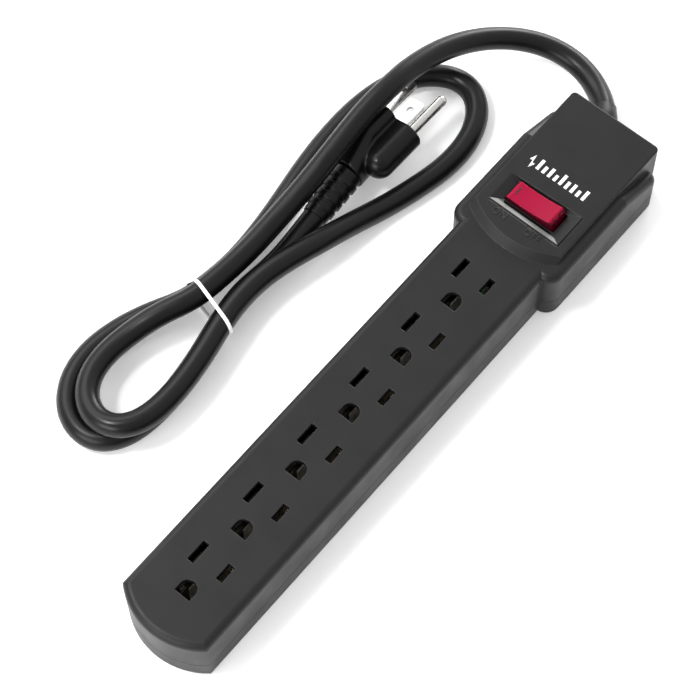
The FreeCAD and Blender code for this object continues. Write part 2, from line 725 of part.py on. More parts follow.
def contact_carrier():
    """The insulating tray that keeps the three bus bars apart."""
    body = new_body("contact_carrier")
    half = 9.6
    floor = new_sketch(body, "XY_Plane", dim.carrier_low)
    rectangle(floor, *CARRIER_ENDS, -half, half)
    pad(body, floor, dim.carrier_thick)
    top = dim.carrier_low + dim.carrier_thick
    walls = new_sketch(body, "XY_Plane", dim.carrier_low)
    for near, far in ((-half, -8.8), (-4.0, -3.3), (3.3, 4.0), (8.8, half)):
        rectangle(walls, *CARRIER_ENDS, near, far)
    pad(body, walls, top - dim.carrier_low + 9)


def bus_bar(name, line, start, end, gap, leaf_half, shift):
    """A flat bar with a pair of upright spring leaves at each outlet."""
    low, high = dim.bus_low, dim.bus_low + dim.bus_thick
    pieces = [block(start, end, line - BUS_HALF, line + BUS_HALF, low, high)]
    for place in outlet_places():
        middle = place + shift
        for side in (-1, 1):
            inner = line + gap * 0.5 * side
            outer = inner + dim.leaf_thick * side
            near, far = (inner, outer) if side > 0 else (outer, inner)
            pieces.append(block(middle - leaf_half, middle + leaf_half, near, far,
                                low, dim.leaf_top))
            if worth(gap) > 2 * BUS_HALF:
                inward = line + 1.5 * side
                edges = (inward, far) if side > 0 else (near, inward)
                pieces.append(block(middle - leaf_half, middle + leaf_half, *edges, low, high))
    node(name, fuse(*pieces))


def contacts():
    first = CARRIER_ENDS[0] + 2
    bus_bar("hot_bus", -dim.blade_offset, first, 59, dim.blade_gap, 3.0, 0)
    bus_bar("neutral_bus", dim.blade_offset, first, 59, dim.blade_gap, 3.5, 0)
    bus_bar("ground_bus", Size(0.0, "0"), -118, 40, dim.pin_gap, 2.2, -dim.ground_mid)


# ---- switch ----

def switch_housing():
    x, y, wide, long = dim.switch_x, dim.switch_y, dim.case_half_wide, dim.case_half_long
    outside = block(x - wide, x + wide, y - long, y + long, dim.case_low, dim.case_top)
    room = dim.rocker_half_wide + dim.rocker_gap
    thick = dim.case_floor
    inside = block(x - room, x + room, y - long + thick, y + long - thick, dim.case_low + thick,
                   dim.case_top + 1)
    bores = rod(x - wide - 1, y, dim.pivot_z, dim.trunnion_radius + dim.trunnion_play,
                wide * 2 + 2, "x")
    slots = []
    for place in (-1, 0, 1):
        line = y + dim.terminal_pitch * place
        grip, half = dim.terminal_thick * 0.5 + 0.05, dim.terminal_wide * 0.5 + 0.05
        slots.append(block(x - half, x + half, line - grip, line + grip, dim.case_low - 1,
                           dim.case_low + 3))
    node("switch_housing", cut(outside, inside, bores, *slots))


def tilted(angle):
    """A sub-part's turn about the rocker's pivot, as a placement of the whole."""
    pivot = Vector(worth(dim.switch_x), worth(dim.switch_y), worth(dim.pivot_z))
    return Placement(pivot, Rotation(Vector(1, 0, 0), angle))


def switch_rocker():
    """The rocker, drawn level about its pivot, then tipped to its ON stop."""
    body = new_body("switch_rocker")
    half, nose, crest, high = dim.rocker_half_long, dim.rocker_nose, dim.rocker_crest, dim.rocker_high
    sketch = new_sketch(body, "YZ_Plane", -dim.rocker_half_wide)
    outline(sketch, [(-ROCKER_FOOT, ROCKER_LOW), (ROCKER_FOOT, ROCKER_LOW), (half, 0.5), (half, nose),
                     (crest, high), (-crest, high), (-half, nose), (-half, 0.5)],
            {3: dim.nose_radius, 4: -dim.rocker_dish, 5: dim.nose_radius})
    pad(body, sketch, dim.rocker_half_wide * 2)
    hollow = new_sketch(body, "XY_Plane", ROCKER_LOW)
    inner = dim.rocker_half_wide - 1.2
    rectangle(hollow, -inner, inner, 1 - ROCKER_FOOT, ROCKER_FOOT - 1)
    pocket(body, hollow, 7.4, upwards=True)
    sleeve = new_sketch(body, "XY_Plane", ROCKER_LOW)
    circle(sleeve, 0, 0, PLUNGER_RADIUS + 1.1)
    pad(body, sleeve, 8)
    bore = new_sketch(body, "XY_Plane", ROCKER_LOW)
    circle(bore, 0, 0, PLUNGER_RADIUS + 0.2)
    pocket(body, bore, 6.8, upwards=True)
    reach = dim.case_half_wide - 0.4
    for start in (-reach, inner):
        trunnion = new_sketch(body, "YZ_Plane", start)
        circle(trunnion, 0, 0, dim.trunnion_radius)
        pad(body, trunnion, reach - inner)
    body.Placement = tilted(-dim.rocker_tilt.value)


def plunger_and_lamp():
    """The sprung plunger that tips the contact lever, and the lamp, both inside the rocker."""
    tilt = -dim.rocker_tilt.value
    stem = fuse(rod(0, 0, -7.2, PLUNGER_RADIUS, 6.0), ball(0, 0, -6.7, PLUNGER_RADIUS))
    node("switch_plunger", stem)
    stem.Placement = tilted(tilt)
    coils = []
    for turn in range(5):
        ring = doc.addObject("Part::Torus", "Coil")
        ring.Radius1 = 1.4
        ring.Radius2 = 0.3
        locate(ring, 0, 0, -0.8 + 0.8 * turn)
        coils.append(ring)
    spring = node("plunger_spring", group(*coils))
    spring.Placement = tilted(tilt)
    lamp = fuse(rod(-LAMP_END, *LAMP_LINE, LAMP_RADIUS, 2 * LAMP_END, "x"),
                ball(-LAMP_END, *LAMP_LINE, LAMP_RADIUS))
    node("neon_lamp", lamp)
    lamp.Placement = tilted(tilt)


def contact_lever():
    """The see-saw contact under the plunger, tipped onto the load terminal."""
    half = dim.lever_half
    strip = block(-2.5, 2.5, -half, half, 0.0, dim.lever_thick)
    pads = [rod(0, dim.terminal_pitch * side, -0.3, 1.4, 0.5) for side in (-1, 1)]
    lever = node("contact_lever", fuse(strip, *pads))
    spot = Vector(worth(dim.switch_x), worth(dim.switch_y), worth(dim.lever_low))
    lever.Placement = Placement(spot, Rotation(Vector(1, 0, 0), dim.lever_tilt.value))


def switch_terminals():
    """Tab terminals; the outer two carry a shelf for the lever's contacts."""
    x, half, grip = dim.switch_x, dim.terminal_wide * 0.5, dim.terminal_thick * 0.5
    for name, place in (("switch_load_terminal", -1), ("switch_common_terminal", 0),
                        ("switch_lamp_terminal", 1)):
        line = dim.switch_y + dim.terminal_pitch * place
        top = OUTER_CONTACT if place else MIDDLE_CONTACT
        blade = block(x - half, x + half, line - grip, line + grip, TERMINAL_FOOT, top)
        if place:
            shelf = block(x - half, x + half, line - 1.2, line + 1.2,
                          dim.case_low + dim.case_floor, OUTER_CONTACT)
            blade = fuse(blade, shelf)
        hole = rod(x, line - 2, TERMINAL_FOOT + 2.4, 0.9, 4, "y")
        node(name, cut(blade, hole))


# ---- surge board and wiring ----

def circuit_board():
    board = block(96, 123, -18.2, -2.4, BOARD_LOW, BOARD_LOW + 1.6)
    holes = [rod(x, y, BOARD_LOW - 1, 1.2, 4) for x, y in BOARD_POSTS]
    node("circuit_board", cut(board, *holes))


def varistors():
    """Three disc varistors standing on the board, each with two legs."""
    foot = BOARD_LOW + 1.65
    discs = []
    for x in DISC_PLACES:
        disc = rod(x, DISC_LINE, 15.0, DISC_RADIUS, DISC_THICK, "x")
        middle = x + DISC_THICK / 2
        legs = [rod(middle, DISC_LINE + side * LEG_SPREAD, foot, LEG_RADIUS, 5) for side in (-1, 1)]
        discs.append(fuse(disc, *legs))
    node("varistors", group(*discs))


def thermal_fuse():
    """A barrel above the board, with a lead from each end down to it."""
    foot = BOARD_LOW + 1.65
    barrel = rod(FUSE_START, FUSE_LINE, FUSE_HIGH, FUSE_RADIUS, FUSE_LENGTH, "x")
    ends = (FUSE_START - 2, FUSE_START + FUSE_LENGTH)
    leads = [rod(x, FUSE_LINE, FUSE_HIGH, LEG_RADIUS, 2, "x") for x in ends]
    legs = [rod(x, FUSE_LINE, foot, LEG_RADIUS, FUSE_HIGH + 0.35 - foot)
            for x in (ends[0], ends[1] + 2)]
    node("thermal_fuse", fuse(barrel, *leads, *legs))


def cord_clamp():
    y, z = dim.exit_y, dim.exit_z
    bar = block(*CLAMP_X, y - CLAMP_HALF, y + CLAMP_HALF, dim.part_high, CLAMP_TOP)
    middle = sum(CLAMP_X) / 2
    channel = rod(CLAMP_X[0] - 1, y, z, dim.cord_radius + 0.05, 10, "x")
    holes = [rod(middle, y + CLAMP_SCREW * side, 8, SCREW_RADIUS + 0.1, 12) for side in (-1, 1)]
    node("cord_clamp", cut(bar, channel, *holes))
    screws = []
    for side in (-1, 1):
        line = y + CLAMP_SCREW * side
        shank = rod(middle, line, CLAMP_SHANK_FOOT, SCREW_RADIUS, CLAMP_TOP + 1 - CLAMP_SHANK_FOOT)
        screws.append(fuse(shank, rod(middle, line, CLAMP_TOP + 0.05, CLAMP_HEAD, CLAMP_HEAD_HIGH)))
    node("clamp_screws", group(*screws))
    node("inner_cord_end", rod(116, y, z, dim.cord_radius, 15, "x"))


def rounded_path(points):
    """Straight runs joined by tangent arcs, each arc as large as its two runs allow."""
    points = [Vector(*point) for point in points]
    edges, radii = [], []
    start = points[0]
    for before, here, after in zip(points, points[1:], points[2:]):
        back, ahead = before - here, after - here
        turn = math.pi - back.getAngle(ahead)
        reach = 0.45 * min(back.Length, ahead.Length)
        radii.append(reach / math.tan(turn / 2))
        back.normalize()
        ahead.normalize()
        enter, leave = here + back * reach, here + ahead * reach
        inward = (back + ahead).normalize()
        apex = here + inward * radii[-1] * (1 / math.cos(turn / 2) - 1)
        edges.append(Part.LineSegment(start, enter).toShape())
        edges.append(Part.Arc(enter, apex, leave).toShape())
        start = leave
    edges.append(Part.LineSegment(start, points[-1]).toShape())
    return Part.Wire(edges), radii


def shortened(edges, reach):
    """The edges of a path that remain once its first stretch is taken off."""
    rest = []
    for edge in edges:
        if reach >= edge.Length:
            reach -= edge.Length
            continue
        if reach > 0:
            share = reach / edge.Length
            first = edge.FirstParameter + (edge.LastParameter - edge.FirstParameter) * share
            edge = edge.Curve.toShape(first, edge.LastParameter)
            reach = 0
        rest.append(edge)
    return rest


def tube(points, radius, hidden=0):
    """A round tube along a path, checked against its section times its length."""
    path, radii = rounded_path(points)
    edges = shortened(path.Edges, hidden)
    start = edges[0]
    ring = Part.makeCircle(radius, start.valueAt(start.FirstParameter),
                           start.tangentAt(start.FirstParameter))
    path = Part.Wire(edges)
    solid = path.makePipeShell([Part.Wire(ring)], True, False)
    ratio = solid.Volume / (math.pi * radius ** 2 * path.Length)
    if abs(ratio - 1) > 0.01:
        raise SystemExit(f"a tube's volume is {ratio:.3f} of its section times its length")
    return solid, radii, path.Length


def wires():
    radius = worth(dim.wire_radius)
    x, y, z = 115.95, worth(dim.exit_y), worth(dim.exit_z)
    routes = {
        "line_wire": [(x, y - 2.4, z - 1), (112, y - 2.4, z - 1), (106, 3.6, 8.2), (98, 0.8, 6.8),
                      (92, 0.6, 6.6), (88.45, 0.6, 6.6)],
        "neutral_wire": [(x, y + 1.6, z - 1.6), (112, y + 1.6, z - 1.6), (105, 9.6, 7.6),
                         (95, 10.8, 5.4), (79, 10.4, 4.8), (68, 8.2, 4.5), (63, 6.35, 4.5),
                         (59.05, 6.35, 4.5)],
        "ground_wire": [(x, y, z + 2.2), (112, y, z + 2.2), (105, 7, 9.4), (96, 4.8, 6.8),
                        (78, 4.4, 6.8), (69, 2.4, 9.4), (56, 0.6, 9.2), (44, 0, 9.4),
                        (38, 0, 9), (38, 0, 4.95)],
        "switched_line_wire": [(81.95, -6.9, 6.6), (78, -6.9, 6.6), (70, -7, 5),
                               (63, -6.35, 4.5), (59.05, -6.35, 4.5)],
    }
    for name, points in routes.items():
        solid, _, _ = tube(points, radius)
        free_shape(name, solid)


# ---- cord, tie and plug ----

def ring_at(points, reach, radius):
    """A circle square to a rounded path, at a distance along it."""
    edge = shortened(rounded_path(points)[0].Edges, reach)[0]
    first = edge.FirstParameter
    return Part.Wire(Part.makeCircle(radius, edge.valueAt(first), edge.tangentAt(first)))


def cord_strain_relief():
    """A tapered sleeve that bends with the cord, with a collar inside the rear wall."""
    lead = CORD_ROUTE[:5]
    rings = [ring_at(lead, RELIEF_LENGTH * share, RELIEF_RADIUS - RELIEF_TAPER * share)
             for share in (0, 0.25, 0.5, 0.75, 1)]
    sleeve = Part.makeLoft(rings, True)
    start = Vector(*CORD_ROUTE[0])
    inward = Vector(-1, 0, 0)
    neck = Part.makeCylinder(STRAIN_NECK - 0.1, worth(dim.wall) + 0.4, start, inward)
    collar = Part.makeCylinder(COLLAR_RADIUS, COLLAR_THICK, start + inward * (worth(dim.wall) + 0.3),
                               inward)
    free_shape("cord_strain_relief", sleeve.fuse([neck, collar]).removeSplitter())


def power_cord():
    """The free cord from the end of its strain relief to the plug's."""
    solid, radii, length = tube(CORD_ROUTE, worth(dim.cord_radius), RELIEF_LENGTH)
    print("cord radii:", [round(value, 1) for value in radii])
    print(f"free cord {length:.0f} mm, {length + RELIEF_LENGTH:.0f} mm from the rear wall, "
          f"smallest radius {min(radii):.1f} mm")
    free_shape("power_cord", solid)


def rounded_hull(centres, radius):
    """The outline round four circles whose centres form a convex ring, as a wire."""
    edges = []
    count = len(centres)
    for index in range(count):
        before, here, after = centres[index - 1], centres[index], centres[(index + 1) % count]
        normal = Vector(1, 0, 0)
        arrive = (here - before).normalize().cross(normal) * radius
        leave = (after - here).normalize().cross(normal) * radius
        middle = (arrive + leave).normalize() * radius
        edges.append(Part.Arc(here + arrive, here + middle, here + leave).toShape())
        edges.append(Part.LineSegment(here + leave, after + leave).toShape())
    return Part.Wire(edges)


# The tie's own frame: its X is square to the band, its Y runs across the hank. The hank lies
# within TIE_REACH of its middle, and TIE_SLACK is between the cord and the band. The block where
# the tie's ends are joined stands outside the lower run: width, depth and height.
TIE_PLACE = Placement(Vector(-21.4, 72.2, 0), Rotation(Vector(0, 0, 1), -14.5))
TIE_REACH = 25
TIE_SLACK = 0.35
TIE_JOINT = (2.4, 1.6, 3.0)


def tie_crossings():
    """Where the cord's runs cross the tie's plane, in order round the bundle.

    A run that crosses at a slant shows a wider section, so its place moves outwards by that.
    """
    spots = [TIE_PLACE.inverse().multVec(Vector(*point)) for point in CORD_ROUTE]
    found = []
    for here, after in zip(spots, spots[1:]):
        if here.x * after.x < 0 and abs(here.y) < TIE_REACH:
            run = after - here
            spot = here + run * (here.x / (here.x - after.x))
            slant = worth(dim.cord_radius) * (run.Length / abs(run.x) - 1)
            found.append(Vector(0, spot.y + math.copysign(slant, spot.y), spot.z))
    middle = sum(found, Vector()) * (1 / len(found))
    return sorted(found, key=lambda spot: math.atan2(spot.z - middle.z, spot.y - middle.y))


def cord_tie():
    """A flat band round the four runs of the hank, with its joined ends at the far side."""
    grip = worth(dim.cord_radius) + TIE_SLACK
    centres = tie_crossings()
    half = worth(dim.tie_width) / 2
    outer = Part.Face(rounded_hull(centres, grip + worth(dim.tie_thick)))
    inner = Part.Face(rounded_hull(centres, grip))
    band = outer.cut(inner).extrude(Vector(2 * half, 0, 0))
    band.translate(Vector(-half, 0, 0))
    low = max((spot for spot in centres if spot.z < 10), key=lambda spot: spot.y)
    joint = Part.makeBox(TIE_JOINT[0], TIE_JOINT[1], TIE_JOINT[2],
                         Vector(-TIE_JOINT[0] / 2, low.y + grip + 0.2, low.z - TIE_JOINT[2] / 2))
    free_shape("cord_tie", band.fuse(joint).removeSplitter(), TIE_PLACE)


# The middle of the plug's front face, and the section where its body meets the strain relief:
# half width, lower and upper side, corner radius.
PLUG_FRONT = Vector(86.3, 70.4, 13.1)
PLUG_REAR = (7.0, -7.2, 6.2, 5.5)


def plug_frame():
    """Placement of the plug: its X towards the prongs, its Z towards the ground pin."""
    forward = Vector(50.6, -1.0, 1.2).normalize()
    across = Vector(0, 0.26, 0.966)
    across = (across - forward * across.dot(forward)).normalize()
    lobe = forward.cross(across)
    matrix = FreeCAD.Matrix(forward.x, across.x, lobe.x, PLUG_FRONT.x,
                            forward.y, across.y, lobe.y, PLUG_FRONT.y,
                            forward.z, across.z, lobe.z, PLUG_FRONT.z,
                            0, 0, 0, 1)
    return Placement(matrix)


def plug_ring(x, half, low, high, corner):
    """A rounded rectangle square to the plug's axis at x, as a wire."""
    left, right, foot, crown = corner - half, half - corner, low + corner, high - corner
    return rounded_hull([Vector(x, left, foot), Vector(x, right, foot),
                         Vector(x, right, crown), Vector(x, left, crown)], corner)


def ground_lobe():
    """The thumb-shaped lobe behind the ground pin, round along its top and at its rear."""
    radius, length = worth(dim.lobe_radius), worth(dim.lobe_length)
    top = worth(dim.ground_plane) + radius
    lobe = Part.makeBox(length, 2 * radius, top, Vector(-length, -radius, 0))
    rounded = []
    for edge in lobe.Edges:
        middle = edge.CenterOfMass
        behind = middle.x < 0.01 - length
        if (middle.z > top - 0.01 and middle.x < -0.01) or (behind and abs(middle.y) > 0.01):
            rounded.append(edge)
    return lobe.makeFillet(radius - 0.1, rounded)


def prongs():
    """Two blades with a hole near the tip and a round ground pin, rooted in the plug's body."""
    place = plug_frame()
    rooted = []
    for name, side, width in (("plug_line_blade", 1, dim.line_blade),
                              ("plug_neutral_blade", -1, dim.neutral_blade)):
        middle = dim.blade_offset * side
        half = dim.blade_thick * 0.5
        flat = block(PRONG_ROOT, dim.blade_length, middle - half, middle + half,
                     dim.blade_plane - width * 0.5, dim.blade_plane + width * 0.5)
        doc.recompute()
        reach = worth(dim.blade_length) - 0.01
        tip = doc.addObject("Part::Fillet", "BladeTip")
        tip.Base = flat
        tip.Edges = [(number, BLADE_CORNER, BLADE_CORNER)
                     for number, edge in enumerate(flat.Shape.Edges, 1)
                     if edge.CenterOfMass.x > reach and abs(edge.tangentAt(edge.FirstParameter).y) > 0.9]
        hole = rod(dim.blade_length - BLADE_HOLE[0], middle - 2 * dim.blade_thick, dim.blade_plane,
                   BLADE_HOLE[1], 4 * dim.blade_thick, "y")
        blade = node(name, cut(tip, hole))
        blade.Placement = place
        rooted.append(blade)
    straight = rod(PRONG_ROOT, 0, dim.ground_plane, dim.pin_radius, dim.pin_length - PRONG_ROOT, "x")
    doc.recompute()
    rims = [edge.CenterOfMass.x for edge in straight.Shape.Edges]
    pin = node("plug_ground_pin", doc.addObject("Part::Fillet", "Pin"))
    pin.Base = straight
    pin.Edges = [(rims.index(max(rims)) + 1, PIN_TIP, PIN_TIP)]
    pin.Placement = place
    rooted.append(pin)
    doc.recompute()
    return [prong.Shape for prong in rooted]


def plug_body(rooted):
    """The moulded body: a block drawn in at the rear, with the ground lobe, round the prongs."""
    half, flat, back = worth(dim.plug_half), worth(dim.plug_flat), worth(dim.plug_back)
    corner, length = worth(dim.plug_corner), worth(dim.plug_length)
    front = plug_ring(0, half, flat, back, corner)
    waist = plug_ring(-length * 0.45, half, flat, back, corner)
    rear = plug_ring(-length, *PLUG_REAR)
    blocks = [Part.makeLoft(pair, True, True) for pair in ([front, waist], [waist, rear])]
    solid = ground_lobe().fuse(blocks).removeSplitter()
    solid.Placement = plug_frame()
    return free_shape("plug_body", solid.cut(rooted)).Shape


def plug_strain_relief(plug):
    """A tapered sleeve with rings round it, from the plug's rear to the cord."""
    rear = plug_frame().multVec(Vector(-worth(dim.plug_length), 0, 0))
    heading = Vector(*CORD_ROUTE[-1]) - rear
    sleeve = Part.makeCone(*TAIL_RADII, heading.Length, rear, heading)
    way = Vector(heading).normalize()
    rings = [Part.makeCylinder(RING_RADIUS - RING_TAPER * number, RING_WIDTH,
                               rear + way * (RING_START + RING_STEP * number), way)
             for number in range(RING_COUNT)]
    free_shape("plug_strain_relief", sleeve.fuse(rings).removeSplitter().cut(plug))


def check_all():
    """Stops at any object that failed to build."""
    doc.recompute()
    for thing in doc.Objects:
        if "Invalid" in thing.State or "Error" in thing.State:
            raise SystemExit(f"{thing.Name} ({thing.Label}) failed: {thing.State}")
    for thing in nodes:
        if thing.Shape.isNull() or not thing.Shape.isValid():
            raise SystemExit(f"{thing.Label} has no valid shape")
        box = thing.Shape.BoundBox
        print(f"{thing.Label}: {len(thing.Shape.Solids)} solid(s), {thing.Shape.Volume:.0f} mm3, "
              f"z {box.ZMin:.2f} to {box.ZMax:.2f}")


top_cover()
bottom_cover()
case_screws()
contact_carrier()
contacts()
switch_housing()
switch_rocker()
plunger_and_lamp()
contact_lever()
switch_terminals()
circuit_board()
varistors()
thermal_fuse()
cord_clamp()
wires()
cord_strain_relief()
power_cord()
cord_tie()
plug_strain_relief(plug_body(prongs()))
check_all()

os.makedirs("parts", exist_ok=True)
for part in nodes:
    part.Shape.exportStep(f"parts/{part.Label}.step")
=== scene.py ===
import json
import math

import bmesh
import bpy
from mathutils import Matrix, Vector


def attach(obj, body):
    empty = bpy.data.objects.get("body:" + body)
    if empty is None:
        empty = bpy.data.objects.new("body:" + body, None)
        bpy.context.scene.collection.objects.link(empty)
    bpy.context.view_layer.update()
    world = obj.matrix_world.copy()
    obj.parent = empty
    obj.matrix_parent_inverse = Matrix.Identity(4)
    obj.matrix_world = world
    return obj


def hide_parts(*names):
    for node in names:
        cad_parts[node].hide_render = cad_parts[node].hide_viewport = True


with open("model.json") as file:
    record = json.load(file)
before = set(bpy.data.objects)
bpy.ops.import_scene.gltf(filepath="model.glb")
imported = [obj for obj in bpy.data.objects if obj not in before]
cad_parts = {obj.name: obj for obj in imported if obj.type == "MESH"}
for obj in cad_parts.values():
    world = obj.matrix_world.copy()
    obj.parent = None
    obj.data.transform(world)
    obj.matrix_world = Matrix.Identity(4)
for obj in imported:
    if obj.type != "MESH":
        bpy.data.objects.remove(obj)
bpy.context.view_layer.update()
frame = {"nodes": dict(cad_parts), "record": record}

# Metres and radians. X runs along the strip towards its cord, Y towards the hank, Z is up.

# The cord's route, as the CAD part has it.
CORD_RADIUS = 0.0047
CORD_ROUTE = [
    (0.1355, 0.009, 0.0105), (0.1412, 0.009, 0.0105), (0.1472, 0.0125, 0.0092), (0.153, 0.0193, 0.0074),
    (0.1577, 0.0283, 0.0067), (0.1593, 0.039, 0.0072), (0.1565, 0.0505, 0.0092),
    (0.1489, 0.0613, 0.0122), (0.1372, 0.07, 0.0163), (0.1226, 0.0756, 0.021), (0.1058, 0.078, 0.0254),
    (0.0924, 0.0778, 0.0284), (0.0767, 0.0779, 0.0286), (0.058, 0.0771, 0.0258),
    (0.0399, 0.077, 0.0208), (0.0219, 0.0777, 0.0164), (0.0046, 0.0777, 0.0148),
    (-0.0128, 0.0784, 0.0158), (-0.0247, 0.0799, 0.0162), (-0.037, 0.0856, 0.0152),
    (-0.0494, 0.0898, 0.0122), (-0.0613, 0.0914, 0.0113), (-0.0719, 0.0894, 0.0116),
    (-0.0799, 0.0836, 0.0124), (-0.0838, 0.075, 0.0136), (-0.0818, 0.0661, 0.0145),
    (-0.0731, 0.0602, 0.0148), (-0.0587, 0.059, 0.0145), (-0.0405, 0.0613, 0.0143),
    (-0.0202, 0.066, 0.0145), (-0.0054, 0.0669, 0.0143), (0.0084, 0.065, 0.0142),
    (0.0259, 0.06, 0.0134), (0.0425, 0.057, 0.0088), (0.0578, 0.0534, 0.0049), (0.0723, 0.0494, 0.0047),
    (0.0888, 0.046, 0.0047), (0.1035, 0.0466, 0.0047), (0.1155, 0.0513, 0.0047),
    (0.1227, 0.0593, 0.0047), (0.1237, 0.0684, 0.0047), (0.1195, 0.0768, 0.0047),
    (0.1118, 0.0838, 0.0047), (0.1, 0.089, 0.0047), (0.0818, 0.0914, 0.0047), (0.0568, 0.0898, 0.0047),
    (0.0266, 0.0842, 0.0047), (0.0053, 0.082, 0.005), (-0.0118, 0.083, 0.0058),
    (-0.0237, 0.0854, 0.0061), (-0.0361, 0.0926, 0.0052), (-0.0495, 0.0976, 0.0047),
    (-0.0632, 0.0994, 0.0047), (-0.0758, 0.0967, 0.0047), (-0.0851, 0.0895, 0.0047),
    (-0.0892, 0.0797, 0.0047), (-0.0868, 0.0704, 0.0047), (-0.0774, 0.0642, 0.0047),
    (-0.0616, 0.0624, 0.0047), (-0.0414, 0.0644, 0.005), (-0.0196, 0.0692, 0.0057),
    (-0.0055, 0.0711, 0.0053), (0.01, 0.0693, 0.0052), (0.024, 0.0692, 0.0072), (0.036, 0.07, 0.009),
]


# ---- materials ----

class Surface:
    """A procedural material on one Principled shader, patterned in the piece's own coordinates."""

    def __init__(self, name, colour, roughness, **constants):
        self.material = bpy.data.materials.new(name)
        self.material.use_nodes = True
        self.tree = self.material.node_tree
        self.shader = self.tree.nodes["Principled BSDF"]
        self.shader.inputs["Base Color"].default_value = (*colour, 1)
        self.shader.inputs["Roughness"].default_value = roughness
        for socket, value in constants.items():
            self.shader.inputs[socket.replace("_", " ")].default_value = value
        self.colour = colour
        self.place = self.add("ShaderNodeTexCoord").outputs["Object"]
        self.normal = None

    def add(self, kind, **settings):
        made = self.tree.nodes.new(kind)
        for name, value in settings.items():
            setattr(made, name, value)
        return made

    def link(self, source, target):
        self.tree.links.new(source, target)

    def noise(self, size, detail=2.0, stretch=(1, 1, 1)):
        """Noise whose patches are about size metres across."""
        scaled = self.add("ShaderNodeMapping")
        scaled.inputs["Scale"].default_value = stretch
        self.link(self.place, scaled.inputs["Vector"])
        made = self.add("ShaderNodeTexNoise")
        made.inputs["Scale"].default_value = 1 / size
        made.inputs["Detail"].default_value = detail
        self.link(scaled.outputs["Vector"], made.inputs["Vector"])
        return made.outputs["Fac"]

    def mapped(self, source, low, high, start=0.3, end=0.7):
        """The source between start and end, turned into low to high."""
        made = self.add("ShaderNodeMapRange")
        for socket, value in (("From Min", start), ("From Max", end), ("To Min", low), ("To Max", high)):
            made.inputs[socket].default_value = value
        self.link(source, made.inputs["Value"])
        return made.outputs["Result"]

    def summed(self, first, second, how="ADD"):
        made = self.add("ShaderNodeMath", operation=how)
        self.link(first, made.inputs[0])
        self.link(second, made.inputs[1])
        return made.outputs["Value"]

    def edges(self, reach, width):
        """1 near an edge and 0 away from it, from how far a softened normal leaves the true one."""
        soft = self.add("ShaderNodeBevel", samples=4)
        soft.inputs["Radius"].default_value = reach
        flat = self.add("ShaderNodeNewGeometry")
        product = self.add("ShaderNodeVectorMath", operation="DOT_PRODUCT")
        self.link(soft.outputs["Normal"], product.inputs[0])
        self.link(flat.outputs["Normal"], product.inputs[1])
        return self.mapped(product.outputs["Value"], 1, 0, 1 - width, 1)

    def inside(self, axis, low, high, fade=0.0002):
        """1 where a coordinate of the piece, in metres, is between two values."""
        split = self.add("ShaderNodeSeparateXYZ")
        self.link(self.place, split.inputs["Vector"])
        part = split.outputs[axis]
        above = self.mapped(part, 0, 1, low - fade, low)
        below = self.mapped(part, 1, 0, high, high + fade)
        return self.summed(above, below, "MULTIPLY")

    def facing(self, axis, least, most):
        """1 where the surface's own direction along an axis is between two values."""
        split = self.add("ShaderNodeSeparateXYZ")
        self.link(self.add("ShaderNodeTexCoord").outputs["Normal"], split.inputs["Vector"])
        part = split.outputs[axis]
        return self.summed(self.mapped(part, 0, 1, least - 0.02, least),
                           self.mapped(part, 1, 0, most, most + 0.02), "MULTIPLY")

    def rough(self, low, high, size, detail=3.0):
        self.link(self.mapped(self.noise(size, detail), low, high), self.shader.inputs["Roughness"])

    def tint(self, mask, colour):
        """Mixes another colour in where the mask is 1."""
        mix = self.add("ShaderNodeMix", data_type="RGBA")
        base = self.shader.inputs["Base Color"]
        mix.inputs["A"].default_value = (*self.colour, 1)
        mix.inputs["B"].default_value = (*colour, 1)
        if base.is_linked:
            self.link(base.links[0].from_socket, mix.inputs["A"])
        self.link(mask, mix.inputs["Factor"])
        self.link(mix.outputs["Result"], base)

    def soften(self, radius):
        """Rounds the shading of hard edges."""
        soft = self.add("ShaderNodeBevel", samples=6)
        soft.inputs["Radius"].default_value = radius
        self.normal = soft.outputs["Normal"]
        self.link(self.normal, self.shader.inputs["Normal"])

    def bump(self, height, depth):
        """Raises the surface by up to depth metres where height is 1."""
        made = self.add("ShaderNodeBump")
        made.inputs["Strength"].default_value = 1
        made.inputs["Distance"].default_value = depth
        self.link(height, made.inputs["Height"])
        if self.normal:
            self.link(self.normal, made.inputs["Normal"])
        self.normal = made.outputs["Normal"]
        self.link(self.normal, self.shader.inputs["Normal"])


def moulded(name, colour, roughness, grain, depth, edge_wear_and_highlight, shine=0.5, rim=0.0005, pale_wear_and_highlight=0.03):
    """Moulded plastic: fine grain, uneven gloss, faint handling marks, and paler edges that are partly
    scuffing and partly a painted highlight.
    """
    surface = Surface(name, colour, roughness, Specular_IOR_Level=shine)
    patches = surface.noise(0.03, 3)
    surface.tint(surface.mapped(patches, 0, 1), [part * 1.12 for part in colour])
    # Paler edges: partly scuffing, partly a painted highlight for the thin light lines along the edges.
    if edge_wear_and_highlight:
        rubbed_and_lit_edges = surface.summed(surface.edges(rim, 0.12), surface.mapped(surface.noise(0.006), 0.1, edge_wear_and_highlight),
                                "MULTIPLY")
        surface.tint(rubbed_and_lit_edges, [min(1, part * 1.8 + pale_wear_and_highlight) for part in colour])
    surface.rough(roughness - 0.05, roughness + 0.06, 0.012)
    surface.soften(rim)
    if grain:
        surface.bump(surface.noise(grain, 1), depth)
    return surface


def metal(name, colour, roughness, brush, along=(1, 12, 12), depth=0.00001, rim=0.0002):
    """Bare or plated metal with fine drawn lines and dull patches."""
    surface = Surface(name, colour, roughness, Metallic=1.0)
    surface.tint(surface.mapped(surface.noise(0.004, 3), 0, 0.5), [part * 0.72 for part in colour])
    surface.rough(roughness - 0.06, roughness + 0.1, 0.003)
    if rim:
        surface.soften(rim)
    surface.bump(surface.noise(brush, 2, along), depth)
    return surface


